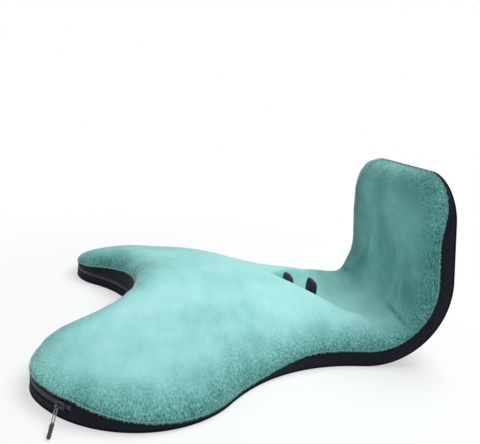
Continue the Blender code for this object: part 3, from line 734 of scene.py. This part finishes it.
# A tooth's wire rises from the tape, bends over and ends in a head across the closed line.
wire = np.array([(-0.00035, 0.0027, 0.0013, 0.00038), (-0.00022, 0.0024, 0.0022, 0.00044),
                 (0.00000, 0.0012, 0.0025, 0.00044), (0.00018, 0.0001, 0.0024, 0.00055),
                 (0.00024, -0.0006, 0.0019, 0.00030)])
for name, node, side_of_zip, shift in (("teeth_upper", "zip_coil_upper", 1, 0.0),
                                       ("teeth_lower", "zip_coil_lower", -1, tooth_pitch / 2)):
    climb = np.gradient(wire[:, 1:3], axis=0)
    climb = climb / np.linalg.norm(climb, axis=1)[:, None]
    ring_height = wire[:, 1:2] + wire[:, 3:] * np.sin(around) * climb[:, 1:]
    ring_offset = wire[:, 2:3] - wire[:, 3:] * np.sin(around) * climb[:, :1]
    ring_run = wire[:, :1] + wire[:, 3:] * np.cos(around)
    points = along_edge(tooth_run[:, None, None] + shift + ring_run, ring_offset[None],
                        zip_height + side_of_zip * ring_height[None])
    quads, caps = tubes(points)
    teeth = shown(name, points, quads, nylon, caps)
    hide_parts(node)
    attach(teeth, "cushion")

lacquer = Finish("grey_lacquer", Roughness=0.34)
lacquer_place = lacquer.place()
rubbed = lacquer.noise(lacquer_place, 900.0, 3.0, 0.6)
lacquer.give("Base Color", lacquer.blend(rubbed, (0.085, 0.110, 0.130, 1.0), (0.200, 0.240, 0.265, 1.0)))
lacquer.give("Metallic", rubbed * 0.3 + 0.6)
lacquer.give("Roughness", rubbed * 0.25 + 0.25)
lacquer.bump(rubbed, 0.15, 0.0002)
dark_lacquer = Finish("dark_lacquer", Roughness=0.32)
worn = dark_lacquer.noise(dark_lacquer.place(), 700.0, 3.0, 0.6)
dark_lacquer.give("Base Color", dark_lacquer.blend(worn, (0.020, 0.024, 0.034, 1.0),
                                                   (0.075, 0.085, 0.105, 1.0)))
dark_lacquer.give("Metallic", worn * 0.3 + 0.5)
dark_lacquer.give("Roughness", worn * 0.3 + 0.25)
dark_lacquer.bump(worn, 0.15, 0.0002)
for clamp in ("zip_end_near", "zip_end_far"):
    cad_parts[clamp].data.materials.clear()
    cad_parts[clamp].data.materials.append(dark_lacquer.material)

# The slider. A die-cast shield over the teeth with two turned-in flanges and a bail on top; it
# stands a centimetre from the near end, where the zip is closed.
slider_setback = 0.010
slider_run = zip_half_length - slider_setback
slider_edge, slider_normal = outline(np.array([slider_run]))
slider_out = np.array([*slider_normal[0], 0.0])
slider_along = np.array([slider_out[1], -slider_out[0], 0.0])
slider_axes = np.array([slider_along, slider_out, (0.0, 0.0, 1.0)])
slider_spot = rolled(slider_edge[:, 0], slider_edge[:, 1], np.array([zip_height]))[0]
plate_inner, plate_outer, half_plate, half_tall = 0.0033, 0.0045, 0.0055, 0.0036
lobe = np.arange(48) / 48 * 2 * pi


def rounded(angle, power):
    """cos and sin, each to a power with its sign kept: a circle pulled out towards a square."""
    return (np.sign(np.cos(angle)) * np.abs(np.cos(angle)) ** power,
            np.sign(np.sin(angle)) * np.abs(np.sin(angle)) ** power)


wide, tall = rounded(lobe, 0.55)
narrowing = 1 - 0.26 * smooth((wide - 0.1) / 0.9)
plate_rows = np.array([(0.30, plate_inner), (0.90, plate_inner), (0.98, plate_inner + 0.0002),
                       (1.0, plate_inner + 0.0007), (0.96, plate_outer - 0.0002), (0.88, plate_outer),
                       (0.45, plate_outer + 0.0003), (0.15, plate_outer + 0.0004)])
plate = np.stack(np.broadcast_arrays(half_plate * plate_rows[:, :1] * wide, plate_rows[:, 1:],
                                     half_tall * plate_rows[:, :1] * tall * narrowing), axis=-1)


def bar(low, high, rounding=0.4, rows=7, count=24, axis=0):
    """A rounded bar between two corners: superellipse sections along x, smaller at the ends."""
    low, high = np.array(low), np.array(high)
    middle, half = (low + high) / 2, (high - low) / 2
    place = np.linspace(-1, 1, rows)
    size = (1 - np.abs(place) ** 6 * 0.45)[:, None]
    across, up = rounded(np.arange(count) / count * 2 * pi, rounding)
    return np.stack(np.broadcast_arrays(middle[0] + half[0] * place[:, None],
                                        middle[1] + half[1] * size * across,
                                        middle[2] + half[2] * size * up), axis=-1)


def wire_path(path, radius, count=12, closed=False):
    """A round wire along a path that lies in one plane: rings square to the path."""
    ahead_of = np.roll(path, -1, axis=0) - np.roll(path, 1, axis=0) if closed else np.gradient(path, axis=0)
    ahead_of = ahead_of / np.linalg.norm(ahead_of, axis=1)[:, None]
    flat_normal = np.linalg.svd(path - path.mean(axis=0))[2][-1]
    sideways = np.cross(ahead_of, flat_normal)
    turn = (np.arange(count) / count * 2 * pi)[None, :, None]
    return path[:, None] + radius * (np.cos(turn) * sideways[:, None] + np.sin(turn) * flat_normal)


arch = np.linspace(0, pi, 15)
bail_path = np.stack([0.0034 * rounded(arch, 0.5)[0], plate_outer - 0.0002 + 0.0026 * rounded(arch, 0.5)[1],
                      0 * arch], axis=-1)


def put(name, forms, axes, spot, finish, body, node, loops=()):
    """Sets closed forms, drawn in a frame of three axes round a spot, into one piece."""
    points, quads, caps, first = [], [], [], 0
    for form in forms:
        form_quads, form_caps = tubes(form[None])
        points.append(form.reshape(-1, 3))
        quads.append(form_quads + first)
        caps += (form_caps + first).tolist()
        first += form.size // 3
    for form in loops:
        index = np.arange(len(form) * form.shape[1]).reshape(form.shape[:2])
        index = np.concatenate([index, index[:1]])
        points.append(form.reshape(-1, 3))
        ring_quads = quads_of(index)[:, ::-1]
        quads.append(ring_quads + first)
        first += form.size // 3
    points = np.concatenate(points) @ axes + spot
    quads = np.concatenate(quads)
    mesh = bpy.data.meshes.new(name)
    mesh.from_pydata(points.tolist(), [], quads.tolist() + caps)
    mesh.shade_smooth()
    mesh.materials.append(finish.material)
    made = bpy.data.objects.new(name, mesh)
    scene.collection.objects.link(made)
    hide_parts(node)
    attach(made, body)
    return made


flange_upper = bar((-0.0054, 0.0018, 0.0029), (0.0016, 0.0043, 0.0037))
flange_lower = bar((-0.0054, 0.0018, -0.0037), (0.0016, 0.0043, -0.0029))
bail = wire_path(bail_path, 0.0006)
put("slider_body", [plate, flange_upper, flange_lower, bail],
    slider_axes, slider_spot, dark_lacquer, "slider", "zip_slider")

# The pull. A thin metal loop that hangs loosely on the bail, with a slim black grip moulded on
# its foot; its own axes are along the bar, through its thickness and up its length.
eye_inner, eye_outer, loop_length, grip_length = 0.00155, 0.00235, 0.0120, 0.0130
foot_clearance, grip_overlap = 0.0015, 0.0012
pull_lean = radians(28)
bail_reach = 0.0024
hinge_out = plate_outer + bail_reach
pull_reach = (eye_outer + loop_length + grip_length - grip_overlap) * cos(pull_lean)
pull_droop = acos((zip_height - foot_clearance) / pull_reach)
pull_turn = (np.array([[1, 0, 0], [0, cos(pull_droop), -sin(pull_droop)],
                       [0, sin(pull_droop), cos(pull_droop)]])
             @ np.array([[cos(pull_lean), 0, sin(pull_lean)], [0, 1, 0],
                         [-sin(pull_lean), 0, cos(pull_lean)]]))
pull_axes = pull_turn.T @ slider_axes
pull_spot = slider_spot + hinge_out * slider_out
eye_turn = np.arange(28) / 28 * 2 * pi
eye_middle = (eye_inner + eye_outer) / 2
eye_ring = wire_path(np.stack([0 * eye_turn, eye_middle * np.cos(eye_turn), eye_middle * np.sin(eye_turn)],
                              axis=-1), 0.0004, closed=True)
loop_turn = np.arange(48) / 48 * 2 * pi
loop_wide, loop_tall = rounded(loop_turn, 0.35)
loop_foot = -eye_outer - loop_length
loop_ring = wire_path(np.stack([0.0011 * loop_wide, 0 * loop_turn,
                                (loop_foot - eye_outer) / 2 + 0.0004
                                + (loop_length / 2 + 0.0002) * loop_tall], axis=-1), 0.0005, closed=True)
put("pull_loop", [], pull_axes, pull_spot, lacquer, "pull", "zip_pull_loop",
    loops=[eye_ring, loop_ring])

rubber = Finish("black_grip", Roughness=0.5)
rubber.give("Base Color", rubber.blend(rubber.noise(rubber.place(), 500.0), (0.008, 0.009, 0.011, 1.0),
                                       (0.020, 0.022, 0.026, 1.0)))
grip_share = np.linspace(0, 1, 34)
grip_size = np.interp(grip_share, (0, 0.04, 0.10, 0.55, 0.84, 0.93, 0.98, 1.0),
                      (0.55, 0.88, 1.0, 0.86, 0.94, 0.80, 0.52, 0.20))
grip_size = grip_size * (1 - 0.05 * (np.abs(np.sin(grip_share * pi * 7)) < 0.35) * (grip_share < 0.6))
grip_wide, grip_deep = rounded(np.arange(20) / 20 * 2 * pi, 0.75)
grip = np.stack(np.broadcast_arrays(0.0019 * grip_size[:, None] * grip_wide,
                                    0.0012 * grip_size[:, None] * grip_deep,
                                    (loop_foot + 0.0002 - grip_length * grip_share)[:, None]), axis=-1)
put("pull_grip", [grip], pull_axes, pull_spot, rubber, "pull", "zip_pull_grip")

# The two stops. Small foam blocks in dark stretch cloth, sewn across the hollow on its middle
# line; each has an upright front and a top that rounds over to the rear.
stretch = Finish("stop_cloth", Roughness=0.82)
stretch.shader.inputs["Specular IOR Level"].default_value = 0.25
stretch_place = stretch.place()
stretch_weave = stretch.noise(stretch_place, 1300.0, 1.0)
stretch_tone = stretch.noise(stretch_place, 90.0, 3.0)
stretch.give("Base Color", stretch.blend(stretch_weave * 0.5 + stretch_tone * 0.5,
                                         (0.012, 0.011, 0.020, 1.0), (0.040, 0.034, 0.052, 1.0)))
stretch.bump(stretch_weave, 0.4, 0.0004)
stop_half_thick, stop_half_length, stop_seat = 0.00475, 0.0130, 0.0012
for name, node, stop_ahead, top in (("front_stop", "stop_front", 0.069, 0.0665),
                                    ("rear_stop", "stop_rear", 0.036, 0.0610)):
    base = float(thickness(np.array(-stop_ahead), np.array(0.0))) + stop_seat
    across = np.linspace(-1, 1, 25)
    shrink = (1 - np.abs(across) ** 5 * 0.42)[:, None]
    wide, tall = rounded(np.arange(40) / 40 * 2 * pi, 0.45)
    crest = 1 - 0.16 * smooth((wide + 0.4) / 1.4) * (tall > 0)
    x = -stop_ahead - middle_x + stop_half_thick * shrink * wide
    z = (base + top) / 2 + (top - base) / 2 * np.where(tall > 0, shrink, 1.0) * tall * crest
    form = np.stack(np.broadcast_arrays(x, stop_half_length * across[:, None], z), axis=-1)
    piece = put(name, [form], np.eye(3), np.zeros(3), stretch, "cushion", node)
